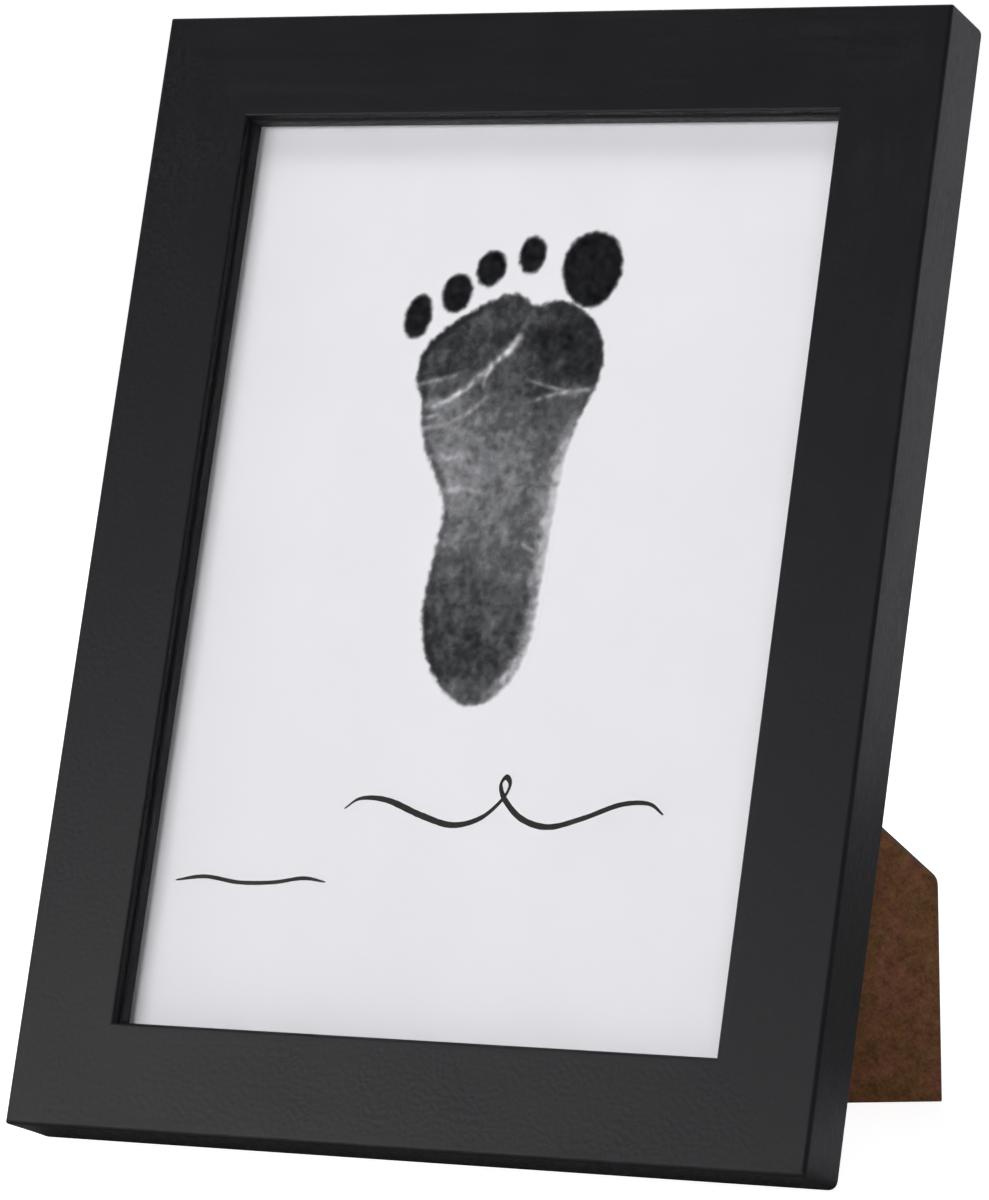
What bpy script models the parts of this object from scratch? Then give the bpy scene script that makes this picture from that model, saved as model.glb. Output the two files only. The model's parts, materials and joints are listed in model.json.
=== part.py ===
"""Tabletop keepsake frame: a flat black moulding mitred at the corners, a glass
sheet over a printed card, a hardboard back held by turn buttons, and a diagonal
hardboard easel leg on a small steel hinge.

The pieces are laid out in the moulding's own axes: x to the right, y towards the
back with the back face at y = 0, z up the face with the bottom edge at z = 0. One
empty leans all of that back until the moulding's rear bottom edge and the foot of
the leg stand on the floor, z = 0."""

import math

import bmesh
import bpy
from mathutils import Matrix, Vector

MM = 0.001

# Moulding
FRAME_W = 158.0 * MM
FRAME_H = 208.0 * MM
FRAME_D = 14.0 * MM
FACE_W = 19.3 * MM  # outer edge to the front sight arris
BEAD_D = 2.3 * MM  # depth of the first inner wall
BEAD_W = 0.5 * MM  # ledge between the two inner walls
LIP_D = 5.0 * MM  # front face to the back of the lip
RABBET_W = 5.0 * MM  # rabbet wall to the front sight arris
EDGE_R = 0.8 * MM  # outer arrises
SIGHT_R = 0.5 * MM
MITRE_GAP = 0.04 * MM

# Stack in the rabbet, front to back
SHEET_PLAY = 0.9 * MM  # each side, in the plane of the sheets
GLASS_T = 2.0 * MM
CARD_T = 0.35 * MM
BACKING_T = 3.0 * MM
PANEL_T = 3.0 * MM
PANEL_PLAY = 0.4 * MM
STACK_GAP = 0.13 * MM

# Easel leg and hinge
HINGE_X = -22.5 * MM
HINGE_Z = 111.5 * MM
HINGE_ANGLE = math.radians(45.0)  # hinge line, from the bottom edge
OPEN_ANGLE = math.radians(36.0)
PIN_Y = 2.4 * MM  # pin axis behind the back face
PIN_R = 1.0 * MM
PIN_BORE_R = 1.15 * MM
KNUCKLE_R = 2.0 * MM
LEAF_T = 0.8 * MM
LEG_TOP_W = 42.6 * MM  # across the hinge end
LEG_W = 55.6 * MM  # across the shoulders
LEG_T = 3.0 * MM
LEG_START = 2.9 * MM  # top edge, from the pin axis
LEG_LENGTH = 141.0 * MM  # tip, from the pin axis
LEG_SHOULDER = 110.1 * MM  # where the second foot edge meets the side
LEG_SEAT = 0.6 * MM  # folded leg behind the back face
LEAF_HALF = 15.0 * MM
LEAF_SPLIT = 8.0 * MM  # where the knuckles part
LEAF_PLAY = 0.3 * MM
PANEL_LEAF_LENGTH = 12.5 * MM
LEG_LEAF_LENGTH = 16.0 * MM
RIVET_R = 1.35 * MM
RIVET_HOLE_R = 1.5 * MM
RIVET_HEAD_R = 2.6 * MM
RIVET_HEAD_H = 1.1 * MM

# Back hardware
RAIL_MID = 7.2 * MM  # middle of the moulding's back, from its outer edge
BUTTON_T = 0.9 * MM
BUTTON_NOSE = 16.0 * MM
BUTTON_TAIL = 4.6 * MM
BUTTON_HOLE_R = 1.45 * MM
SCREW_R = 1.1 * MM
SCREW_HOLE_R = 1.3 * MM
SCREW_DEPTH = 8.2 * MM
SCREW_HEAD_R = 2.6 * MM
SCREW_HEAD_H = 1.6 * MM
NAIL_ARM = 5.0 * MM
NAIL_T = 0.5 * MM
NAIL_DEPTH = 7.0 * MM
STRAP_Z = 181.0 * MM  # ring axis, on the middle line
STRAP_Y = 1.75 * MM
STRAP_W = 8.0 * MM
STRAP_T = 0.6 * MM
STRAP_LENGTH = 16.0 * MM
WIRE_R = 0.8 * MM
RING_HALF = 10.0 * MM
RING_DROP = 16.0 * MM
SAW_LENGTH = 42.0 * MM
SAW_W = 8.0 * MM
SAW_T = 0.8 * MM
SAW_RISE = 1.6 * MM
SAW_HOLE = 17.6 * MM
TACK_R = 0.8 * MM

SIDES = 20  # facets of small round pieces


def clear_scene():
    for obj in list(bpy.data.objects):
        bpy.data.objects.remove(obj, do_unlink=True)


def collection(name):
    made = bpy.data.collections.new(name)
    bpy.context.scene.collection.children.link(made)
    return made


def finish(name, colour, roughness, metallic=0.0):
    mat = bpy.data.materials.new(name)
    mat.use_nodes = True
    shader = mat.node_tree.nodes["Principled BSDF"]
    shader.inputs["Base Color"].default_value = (*colour, 1.0)
    shader.inputs["Roughness"].default_value = roughness
    shader.inputs["Metallic"].default_value = metallic
    return mat


def lean_angle():
    """Lean at which the rounded rear bottom edge and the tip of the leg stand level."""
    side = LEG_SEAT - PIN_Y
    tip_z = HINGE_Z - math.cos(HINGE_ANGLE) * (
        LEG_LENGTH * math.cos(OPEN_ANGLE) - side * math.sin(OPEN_ANGLE)
    )
    tip_y = PIN_Y + LEG_LENGTH * math.sin(OPEN_ANGLE) + side * math.cos(OPEN_ANGLE)
    low, high = 0.0, math.radians(45.0)
    for _ in range(60):
        lean = (low + high) / 2
        tip = tip_z * math.cos(lean) - tip_y * math.sin(lean)
        edge = EDGE_R * (math.sin(lean) + math.cos(lean) - 1.0)
        low, high = (lean, high) if tip > edge else (low, lean)
    return lean


LEAN = lean_angle()


def foot_slope():
    """Rise along the leg, per step across it, of a line that is level when the leg is open."""
    across = math.sin(HINGE_ANGLE) * math.cos(LEAN)
    along = math.cos(OPEN_ANGLE) * math.cos(HINGE_ANGLE) * math.cos(LEAN)
    along += math.sin(OPEN_ANGLE) * math.sin(LEAN)
    return across / along


def circle(x, y, radius, sides=SIDES):
    steps = (2 * math.pi * k / sides for k in range(sides))
    return [(x + radius * math.cos(a), y + radius * math.sin(a)) for a in steps]


def rounded(corners, steps=3):
    """Outline through (x, y, radius) corners, each turned into an arc."""
    loop = []
    for i, (x, y, radius) in enumerate(corners):
        here = Vector((x, y))
        if radius == 0:
            loop.append((x, y))
            continue
        back = (Vector(corners[i - 1][:2]) - here).normalized()
        on = (Vector(corners[(i + 1) % len(corners)][:2]) - here).normalized()
        half = back.angle(on) / 2
        middle = here + (back + on).normalized() * (radius / math.sin(half))
        start = here + back * (radius / math.tan(half)) - middle
        end = here + on * (radius / math.tan(half)) - middle
        first = math.atan2(start.y, start.x)
        sweep = math.atan2(end.y, end.x) - first
        sweep = (sweep + math.pi) % (2 * math.pi) - math.pi
        for k in range(steps + 1):
            a = first + sweep * k / steps
            loop.append((middle.x + radius * math.cos(a), middle.y + radius * math.sin(a)))
    return loop


def rectangle(width, height, radius, steps=3):
    x, y = width / 2, height / 2
    return rounded([(-x, -y, radius), (x, -y, radius), (x, y, radius), (-x, y, radius)], steps)


def mesh_of_curve(name, curve):
    holder = bpy.data.objects.new(name + "_curve", curve)
    bpy.context.scene.collection.objects.link(holder)
    graph = bpy.context.evaluated_depsgraph_get()
    mesh = bpy.data.meshes.new_from_object(holder.evaluated_get(graph))
    bpy.data.objects.remove(holder)
    bpy.data.curves.remove(curve)
    bm = bmesh.new()
    bm.from_mesh(mesh)
    bmesh.ops.remove_doubles(bm, verts=bm.verts, dist=0.00001)
    bmesh.ops.recalc_face_normals(bm, faces=bm.faces)
    bm.to_mesh(mesh)
    bm.free()
    mesh.name = name
    return mesh


def plate(name, loops, thickness, lift=0.0):
    """Flat piece in XY with the given outline and holes, from lift to lift + thickness."""
    curve = bpy.data.curves.new(name, "CURVE")
    curve.dimensions = "2D"
    curve.fill_mode = "BOTH"
    curve.extrude = thickness / 2
    for loop in loops:
        spline = curve.splines.new("POLY")
        spline.points.add(len(loop) - 1)
        for point, (x, y) in zip(spline.points, loop):
            point.co = (x, y, 0.0, 1.0)
        spline.use_cyclic_u = True
    mesh = mesh_of_curve(name, curve)
    mesh.transform(Matrix.Translation((0, 0, lift + thickness / 2)))
    return mesh


def box(name, low, high, turn=None):
    size = Vector(high) - Vector(low)
    bm = bmesh.new()
    bmesh.ops.create_cube(bm, size=1.0)
    bmesh.ops.scale(bm, vec=size, verts=bm.verts)
    bmesh.ops.translate(bm, vec=(Vector(low) + Vector(high)) / 2, verts=bm.verts)
    if turn is not None:
        bmesh.ops.transform(bm, matrix=turn, verts=bm.verts)
    mesh = bpy.data.meshes.new(name)
    bm.to_mesh(mesh)
    bm.free()
    return mesh


def rod(name, radius, start, end, axis="Z", sides=SIDES):
    """Cylinder along one local axis, from start to end on it."""
    bm = bmesh.new()
    bmesh.ops.create_cone(
        bm, cap_ends=True, segments=sides, radius1=radius, radius2=radius, depth=end - start
    )
    bmesh.ops.translate(bm, vec=(0, 0, (start + end) / 2), verts=bm.verts)
    if axis == "X":
        bmesh.ops.rotate(bm, matrix=Matrix.Rotation(math.pi / 2, 3, "Y"), verts=bm.verts)
    mesh = bpy.data.meshes.new(name)
    bm.to_mesh(mesh)
    bm.free()
    return mesh


def on_back(x, z, y=0.0, nose=(1.0, 0.0)):
    """Axes of a piece on the back: local X along nose (x, z), local Z out of the back."""
    across, up = Vector(nose).normalized()
    turn = Matrix(((across, up, 0.0), (0.0, 0.0, 1.0), (up, -across, 0.0)))
    return Matrix.Translation((x, y, z)) @ turn.to_4x4()


def add(name, mesh, mat, parent, place=None, smooth=False):
    obj = bpy.data.objects.new(name, mesh)
    PARTS.objects.link(obj)
    mesh.materials.clear()
    mesh.materials.append(mat)
    obj.parent = parent
    if place is not None:
        obj.matrix_basis = place
    if smooth:
        mesh.shade_smooth()
        mesh.set_sharp_from_angle(angle=math.radians(35))
    return obj


def empty(name, parent, place):
    obj = bpy.data.objects.new(name, None)
    obj.empty_display_size = 0.01
    PARTS.objects.link(obj)
    obj.parent = parent
    obj.matrix_basis = place
    return obj


def combine(obj, name, mesh, parent, place, operation):
    """Cuts a shape from obj or joins it on."""
    tool = bpy.data.objects.new(name, mesh)
    CUTTERS.objects.link(tool)
    tool.parent = parent
    if place is not None:
        tool.matrix_basis = place
    tool.hide_render = True
    tool.display_type = "WIRE"
    step = obj.modifiers.new(name, "BOOLEAN")
    step.operation = operation
    step.solver = "EXACT"
    step.object = tool


def turned(name, profile, mat, parent, place, steps=SIDES):
    """Round piece from (radius, height) points that run down its outer side."""
    mesh = bpy.data.meshes.new(name)
    ends = [(k, k + 1) for k in range(len(profile) - 1)]
    mesh.from_pydata([(r, 0.0, h) for r, h in profile], ends, [])
    obj = add(name, mesh, mat, parent, place)
    screw = obj.modifiers.new("turn", "SCREW")
    screw.axis = "Z"
    screw.steps = screw.render_steps = steps
    screw.use_merge_vertices = True
    screw.merge_threshold = 0.00001
    screw.use_smooth_shade = True
    return obj


def dome(radius, height, base, steps=4):
    """Points down a low domed head that stands on base."""
    turn = [math.pi / 2 * k / steps for k in range(steps + 1)]
    edge = 0.25 * height
    arc = [(radius * math.sin(a), base + edge + (height - edge) * math.cos(a)) for a in turn]
    return arc + [(radius, base)]


def rail_profile():
    """(distance in from the outer edge, y) round the section of the moulding."""
    sight = FACE_W + BEAD_W
    return rounded(
        [
            (0.0, -FRAME_D, EDGE_R),
            (FACE_W, -FRAME_D, SIGHT_R),
            (FACE_W, -FRAME_D + BEAD_D, 0.0),
            (sight, -FRAME_D + BEAD_D, 0.2 * MM),
            (sight, -FRAME_D + LIP_D, 0.0),
            (FACE_W - RABBET_W, -FRAME_D + LIP_D, 0.0),
            (FACE_W - RABBET_W, 0.0, 0.3 * MM),
            (0.0, 0.0, EDGE_R),
        ],
        4,
    )


def rail(name, length, origin, turn):
    """Length of moulding along local X, face inwards along local Z, mitred at both ends."""
    mesh = plate(name, [rail_profile()], length, -length / 2)
    mesh.transform(Matrix.Rotation(-math.pi / 2, 4, "Y"))
    bm = bmesh.new()
    bm.from_mesh(mesh)
    for side in (-1, 1):
        sliced = bmesh.ops.bisect_plane(
            bm,
            geom=bm.verts[:] + bm.edges[:] + bm.faces[:],
            dist=1e-8,
            plane_co=(side * (length / 2 - MITRE_GAP), 0, 0),
            plane_no=(side, 0, 1),
            clear_outer=True,
        )
        rim = [e for e in sliced["geom_cut"] if isinstance(e, bmesh.types.BMEdge)]
        bmesh.ops.contextual_create(bm, geom=rim)
    bmesh.ops.recalc_face_normals(bm, faces=bm.faces)
    bm.to_mesh(mesh)
    bm.free()
    place = Matrix.Translation(origin) @ Matrix.Rotation(turn, 4, "Y")
    return add(name, mesh, BLACK, BASE, place, smooth=True)


def make_moulding():
    rails = {
        "bottom_rail": rail("bottom_rail", FRAME_W, (0, 0, 0), 0.0),
        "top_rail": rail("top_rail", FRAME_W, (0, 0, FRAME_H), math.pi),
        "left_stile": rail("left_stile", FRAME_H, (-FRAME_W / 2, 0, FRAME_H / 2), math.pi / 2),
        "right_stile": rail("right_stile", FRAME_H, (FRAME_W / 2, 0, FRAME_H / 2), -math.pi / 2),
    }
    for up, row in ((-1, "bottom"), (1, "top")):
        for across, column in ((-1, "left"), (1, "right")):
            x = across * (FRAME_W / 2 - RAIL_MID)
            z = FRAME_H / 2 + up * (FRAME_H / 2 - RAIL_MID)
            place = on_back(x, z, 0.0, (-across, -up))
            nail = plate("nail", [wedge_outline(NAIL_ARM, NAIL_T)], NAIL_DEPTH, -NAIL_DEPTH - 0.15 * MM)
            add(f"{row}_{column}_v_nail", nail, STEEL, BASE, place)
            for side in (f"{row}_rail", f"{column}_stile"):
                slot = plate(
                    "slot",
                    [wedge_outline(NAIL_ARM + 0.2 * MM, NAIL_T + 0.3 * MM)],
                    NAIL_DEPTH + 2.4 * MM,
                    -NAIL_DEPTH - 0.4 * MM,
                )
                combine(rails[side], f"{side}_{row}_{column}_slot", slot, BASE, place, "DIFFERENCE")
    return rails


def wedge_outline(arm, thickness):
    """V of two arms whose point faces local -X."""
    spread = math.radians(58)
    way = Vector((math.cos(spread), math.sin(spread)))
    off = Vector((-math.sin(spread), math.cos(spread))) * (thickness / 2)
    outer, inner = way * arm + off, way * arm - off
    point = thickness / (2 * math.sin(spread))
    shift = arm * math.cos(spread) / 2
    loop = [
        (-point, 0.0),
        (outer.x, -outer.y),
        (inner.x, -inner.y),
        (point, 0.0),
        (inner.x, inner.y),
        (outer.x, outer.y),
    ]
    return [(x - shift, y) for x, y in loop]


def make_stack():
    """Glass, print, backing card and back panel, each on the one before it."""
    rabbet_w = FRAME_W - 2 * (FACE_W - RABBET_W)
    rabbet_h = FRAME_H - 2 * (FACE_W - RABBET_W)
    width, height = rabbet_w - 2 * SHEET_PLAY, rabbet_h - 2 * SHEET_PLAY
    face = -FRAME_D + LIP_D
    for name, thickness, mat in (
        ("glass_sheet", GLASS_T, GLASS),
        ("print_card", CARD_T, PAPER),
        ("backing_card", BACKING_T, BOARD),
    ):
        face += STACK_GAP
        sheet = plate(name, [rectangle(width, height, 0.5 * MM, 1)], thickness, -face - thickness)
        add(name, sheet, mat, BASE, on_back(0, FRAME_H / 2) @ Matrix.Rotation(math.pi, 4, "X"))
        face += thickness
    face += STACK_GAP
    outline = rectangle(rabbet_w - 2 * PANEL_PLAY, rabbet_h - 2 * PANEL_PLAY, 1.5 * MM)
    place = on_back(0, FRAME_H / 2)
    flat = place.inverted()
    holes = []
    for spot in panel_rivets():
        at = flat @ spot.translation
        holes.append(circle(at.x, at.y, RIVET_HOLE_R))
    panel = plate("back_panel", [outline, *holes], PANEL_T, face)
    add("back_panel", panel, HARDBOARD, BASE, place)
    return face + PANEL_T


def panel_rivets():
    """Places of the rivets in the back panel: two through the hinge, one through the ring strap."""
    seat = on_back(HINGE_X, HINGE_Z, 0.0, (math.cos(HINGE_ANGLE), math.sin(HINGE_ANGLE)))
    spots = [seat @ Matrix.Translation((side * 9.5 * MM, -8.0 * MM, 0)) for side in (-1, 1)]
    return spots + [on_back(0, STRAP_Z - 11.5 * MM)]


def rivet(name, parent, place, seat, tail):
    """Rivet with its domed head on seat and its shank down to tail."""
    profile = dome(RIVET_HEAD_R, RIVET_HEAD_H, seat) + [(RIVET_R, seat), (RIVET_R, tail), (0.0, tail)]
    return turned(name, profile, STEEL, parent, place)


def make_hinge(panel_face):
    nose = (math.cos(HINGE_ANGLE), math.sin(HINGE_ANGLE))
    seat = empty("hinge_axis", BASE, on_back(HINGE_X, HINGE_Z, PIN_Y, nose))
    leg = empty("leg_axis", seat, Matrix.Rotation(OPEN_ANGLE, 4, "X"))

    # Fixed leaf: two end knuckles, cut back in the middle for the knuckle of the leg
    bottom = panel_face + 0.25 * MM - PIN_Y
    gap = LEAF_SPLIT + LEAF_PLAY
    outline = rounded(
        [
            (-LEAF_HALF, 1.0 * MM, 0.0),
            (-LEAF_HALF, -PANEL_LEAF_LENGTH, 3.0 * MM),
            (LEAF_HALF, -PANEL_LEAF_LENGTH, 3.0 * MM),
            (LEAF_HALF, 1.0 * MM, 0.0),
            (gap, 1.0 * MM, 0.0),
            (gap, -2.8 * MM, 0.0),
            (-gap, -2.8 * MM, 0.0),
            (-gap, 1.0 * MM, 0.0),
        ]
    )
    holes = [circle(side * 9.5 * MM, -8.0 * MM, RIVET_HOLE_R) for side in (-1, 1)]
    leaf = add("hinge_panel_leaf", plate("hinge_panel_leaf", [outline, *holes], LEAF_T, bottom), STEEL, seat)
    for side, name in ((-1, "low"), (1, "high")):
        ends = sorted((side * gap, side * LEAF_HALF))
        knuckle = rod("knuckle", KNUCKLE_R, ends[0], ends[1], "X", 24)
        combine(leaf, f"panel_leaf_{name}_knuckle", knuckle, seat, None, "UNION")
    bore = rod("bore", PIN_BORE_R, -LEAF_HALF - 3 * MM, LEAF_HALF + 3 * MM, "X", 24)
    combine(leaf, "panel_leaf_bore", bore, seat, None, "DIFFERENCE")

    pin = add("hinge_pin", rod("hinge_pin", PIN_R, -LEAF_HALF - 0.5 * MM, LEAF_HALF + 0.5 * MM, "X", 24), STEEL, seat, None, True)
    ease = pin.modifiers.new("ease", "BEVEL")
    ease.width = 0.25 * MM
    ease.segments = 2
    ease.limit_method = "ANGLE"
    ease.angle_limit = math.radians(60)

    for spot, name in zip(panel_rivets(), ("low", "high")):
        top = panel_face + 0.25 * MM + LEAF_T + 0.12 * MM
        rivet(f"hinge_{name}_rivet", BASE, spot, top, panel_face - PANEL_T + 0.15 * MM)

    # Moving leaf: one knuckle, a plate on the back of the leg, and a tongue that meets the fixed leaf when open
    rear = LEG_SEAT - PIN_Y + LEG_T
    low = rear + 0.2 * MM
    half = LEAF_SPLIT - LEAF_PLAY / 2
    outline = rounded(
        [
            (-half, -0.6 * MM, 0.0),
            (half, -0.6 * MM, 0.0),
            (half, 3.4 * MM, 0.0),
            (13.0 * MM, 5.4 * MM, 1.0 * MM),
            (13.0 * MM, LEG_LEAF_LENGTH, 3.0 * MM),
            (-13.0 * MM, LEG_LEAF_LENGTH, 3.0 * MM),
            (-13.0 * MM, 5.4 * MM, 1.0 * MM),
            (-half, 3.4 * MM, 0.0),
        ]
    )
    spots = [(side * 8.5 * MM, 11.0 * MM) for side in (-1, 1)]
    holes = [circle(x, y, RIVET_HOLE_R) for x, y in spots]
    moving = add("hinge_leg_leaf", plate("hinge_leg_leaf", [outline, *holes], LEAF_T, low), STEEL, leg)
    combine(moving, "leg_leaf_knuckle", rod("knuckle", KNUCKLE_R, -half, half, "X", 24), leg, None, "UNION")
    stop_low = bottom + LEAF_T + 0.3 * MM
    tongue = box("tongue", (-6 * MM, -7.5 * MM, stop_low), (6 * MM, -1.5 * MM, stop_low + LEAF_T))
    combine(moving, "leg_leaf_tongue", tongue, seat, None, "UNION")
    bore = rod("bore", PIN_BORE_R, -LEAF_HALF, LEAF_HALF, "X", 24)
    combine(moving, "leg_leaf_bore", bore, leg, None, "DIFFERENCE")

    # Leg board, with one foot edge level on the floor and the other for standing on the right side
    top, side = LEG_TOP_W / 2, LEG_W / 2
    outline = rounded(
        [
            (-top, LEG_START, 1.5 * MM),
            (top, LEG_START, 1.5 * MM),
            (side, LEG_SHOULDER, 2.8 * MM),
            (0.0, LEG_LENGTH, 0.0),
            (-side, LEG_LENGTH - side * foot_slope(), 2.8 * MM),
        ],
        4,
    )
    board = plate("easel_leg", [outline, *[circle(x, y, RIVET_HOLE_R) for x, y in spots]], LEG_T, LEG_SEAT - PIN_Y)
    add("easel_leg", board, HARDBOARD, leg)
    for (x, y), name in zip(spots, ("low", "high")):
        top = low + LEAF_T + 0.12 * MM
        rivet(f"leg_{name}_rivet", leg, Matrix.Translation((x, y, 0)), top, LEG_SEAT - PIN_Y + 0.15 * MM)


def make_buttons(rails):
    """Turn buttons that hold the back panel, each on its own screw into the moulding."""
    x, z = FRAME_W / 2 - RAIL_MID, FRAME_H - RAIL_MID
    spots = {
        "top": (36 * MM, z, (0, -1), "top_rail"),
        "bottom": (-36 * MM, RAIL_MID, (0, 1), "bottom_rail"),
        "left": (-x, 58 * MM, (1, 0), "left_stile"),
        "right": (x, 150 * MM, (-1, 0), "right_stile"),
    }
    under = 0.25 * MM
    for name, (px, pz, nose, side) in spots.items():
        place = on_back(px, pz, 0.0, nose)
        outline = rounded(
            [
                (-BUTTON_TAIL, -4.6 * MM, 4.4 * MM),
                (4.0 * MM, -4.6 * MM, 3.0 * MM),
                (BUTTON_NOSE, -3.4 * MM, 3.2 * MM),
                (BUTTON_NOSE, 3.4 * MM, 3.2 * MM),
                (4.0 * MM, 4.6 * MM, 3.0 * MM),
                (-BUTTON_TAIL, 4.6 * MM, 4.4 * MM),
            ],
            4,
        )
        strip = plate(f"{name}_turn_button", [outline, circle(0, 0, BUTTON_HOLE_R)], BUTTON_T, under)
        add(f"{name}_turn_button", strip, STEEL, BASE, place)
        seat = under + BUTTON_T + 0.2 * MM
        profile = dome(SCREW_HEAD_R, SCREW_HEAD_H, seat)
        profile += [(SCREW_R, seat), (SCREW_R, -SCREW_DEPTH + 1.5 * MM), (0.0, -SCREW_DEPTH)]
        screw = turned(f"{name}_button_screw", profile, STEEL, BASE, place)
        top = seat + SCREW_HEAD_H
        cross = [(-1.6, 0.32), (-0.42, 0.42), (-0.32, 1.6), (0.32, 1.6), (0.42, 0.42), (1.6, 0.32)]
        cross += [(-a, -b) for a, b in cross]
        drive = plate("drive", [[(a * MM, b * MM) for a, b in cross]], 2 * MM, top - 0.8 * MM)
        combine(screw, f"{name}_screw_drive", drive, BASE, place, "DIFFERENCE")
        hole = rod("hole", SCREW_HOLE_R, -SCREW_DEPTH - 0.4 * MM, 2 * MM)
        combine(rails[side], f"{name}_screw_hole", hole, BASE, place, "DIFFERENCE")


def make_hanging_ring(panel_face):
    """Strap riveted to the back panel, and a wire ring that swings in its rolled end."""
    axis = Matrix.Translation((0, STRAP_Y, STRAP_Z))
    low = panel_face + 0.25 * MM
    place = on_back(0, STRAP_Z)
    outline = rounded(
        [
            (-STRAP_W / 2, 0.0, 0.0),
            (STRAP_W / 2, 0.0, 0.0),
            (STRAP_W / 2, STRAP_LENGTH, 2.5 * MM),
            (-STRAP_W / 2, STRAP_LENGTH, 2.5 * MM),
        ]
    )
    strap = plate("ring_strap", [outline, circle(0, 11.5 * MM, RIVET_HOLE_R)], STRAP_T, low)
    strap = add("ring_strap", strap, STEEL, BASE, place)
    roll = rod("roll", STRAP_Y - low, -STRAP_W / 2, STRAP_W / 2, "X", 24)
    combine(strap, "strap_roll", roll, BASE, axis, "UNION")
    bore = rod("bore", WIRE_R + 0.2 * MM, -STRAP_W, STRAP_W, "X", 24)
    combine(strap, "strap_bore", bore, BASE, axis, "DIFFERENCE")
    rivet("strap_rivet", BASE, panel_rivets()[2], low + STRAP_T + 0.12 * MM, panel_face - PANEL_T + 0.15 * MM)

    hang = empty("ring_axis", BASE, axis @ Matrix.Rotation(LEAN, 4, "X"))
    loop = rounded([(-RING_HALF, 0.0, 2.0 * MM), (RING_HALF, 0.0, 2.0 * MM), (0.0, -RING_DROP, 2.2 * MM)], 5)
    wire = bpy.data.curves.new("hanging_ring", "CURVE")
    wire.dimensions = "3D"
    wire.bevel_depth = WIRE_R
    wire.bevel_resolution = 2
    spline = wire.splines.new("POLY")
    spline.points.add(len(loop) - 1)
    for point, (x, z) in zip(spline.points, loop):
        point.co = (x, 0.0, z, 1.0)
    spline.use_cyclic_u = True
    add("hanging_ring", mesh_of_curve("hanging_ring", wire), STEEL, hang, None, True)


def make_saw_hanger(rails):
    """Toothed strip on the back of the left stile, for hanging with that side up."""
    x, z = -FRAME_W / 2 + RAIL_MID, FRAME_H / 2
    low, high, t = 0.25 * MM, 0.25 * MM + SAW_RISE, SAW_T
    half, bend, flat = SAW_LENGTH / 2, 14.5 * MM, 12.0 * MM
    outline = [(-half, low), (-bend, low), (-flat, high), (flat, high), (bend, low), (half, low)]
    outline += [(half, low + t), (bend - 0.2 * MM, low + t), (flat - 0.2 * MM, high + t)]
    outline += [(-flat + 0.2 * MM, high + t), (-bend + 0.2 * MM, low + t), (-half, low + t)]
    strip = plate("saw_hanger", [outline], SAW_W, -SAW_W / 2)
    # outline x runs up the stile, outline y out of the back
    up_stile = Matrix.Translation((x, 0, z)) @ Matrix(
        ((0, 0, 1, 0), (0, 1, 0, 0), (-1, 0, 0, 0), (0, 0, 0, 1))
    )
    hanger = add("saw_hanger", strip, STEEL, BASE, up_stile)
    teeth, pitch, count = [], 3.0 * MM, 7
    edge, root = SAW_W / 2, SAW_W / 2 - 1.7 * MM
    for k in range(count):
        start = (k - count / 2) * pitch
        teeth += [(start, edge), (start + pitch / 2, root)]
    teeth += [(count / 2 * pitch, edge), (count / 2 * pitch, edge + 3 * MM), (-count / 2 * pitch, edge + 3 * MM)]
    # across the strip: cutter x up the stile, cutter y towards the opening, cutter z out of the back
    across = Matrix.Translation((x, 0, z)) @ Matrix(
        ((0, 1, 0, 0), (0, 0, 1, 0), (1, 0, 0, 0), (0, 0, 0, 1))
    )
    combine(hanger, "saw_teeth", plate("teeth", [teeth], 8 * MM, -2 * MM), BASE, across, "DIFFERENCE")
    for side, name in ((-1, "low"), (1, "high")):
        place = on_back(x, z + side * SAW_HOLE)
        combine(hanger, f"saw_{name}_hole", rod("hole", TACK_R + 0.2 * MM, -3 * MM, 6 * MM), BASE, place, "DIFFERENCE")
        hole = rod("hole", TACK_R + 0.15 * MM, -8.4 * MM, 2 * MM)
        combine(rails["left_stile"], f"saw_{name}_tack_hole", hole, BASE, place, "DIFFERENCE")
        seat = low + t + 0.12 * MM
        profile = dome(2.0 * MM, 0.8 * MM, seat, 3)
        profile += [(TACK_R, seat), (TACK_R, -7.0 * MM), (0.0, -8.2 * MM)]
        turned(f"saw_{name}_tack", profile, STEEL, BASE, place, 16)


def settle():
    """Centres the standing object over the origin, with its lowest point on the floor."""
    bpy.context.view_layer.update()
    graph = bpy.context.evaluated_depsgraph_get()
    points = []
    for obj in PARTS.objects:
        if obj.type == "MESH":
            seen = obj.evaluated_get(graph)
            points += [seen.matrix_world @ v.co for v in seen.data.vertices]
    low = [min(p[k] for p in points) for k in range(3)]
    high = [max(p[k] for p in points) for k in range(3)]
    BASE.location = (-(low[0] + high[0]) / 2, -(low[1] + high[1]) / 2, -low[2])
    bpy.context.view_layer.update()


clear_scene()
PARTS = collection("keepsake_frame")
CUTTERS = collection("keepsake_frame_cutters")

BLACK = finish("satin_black", (0.018, 0.018, 0.019), 0.42)
GLASS = finish("clear_glass", (0.92, 0.95, 0.94), 0.03)
PAPER = finish("print_paper", (0.78, 0.78, 0.80), 0.85)
BOARD = finish("grey_board", (0.42, 0.40, 0.37), 0.9)
HARDBOARD = finish("brown_hardboard", (0.115, 0.058, 0.034), 0.7)
STEEL = finish("zinc_steel", (0.56, 0.57, 0.58), 0.32, 1.0)

BASE = empty("frame_base", None, Matrix.Rotation(-LEAN, 4, "X"))
RAILS = make_moulding()
PANEL_FACE = make_stack()
make_hinge(PANEL_FACE)
make_buttons(RAILS)
make_hanging_ring(PANEL_FACE)
make_saw_hanger(RAILS)
settle()
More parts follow.
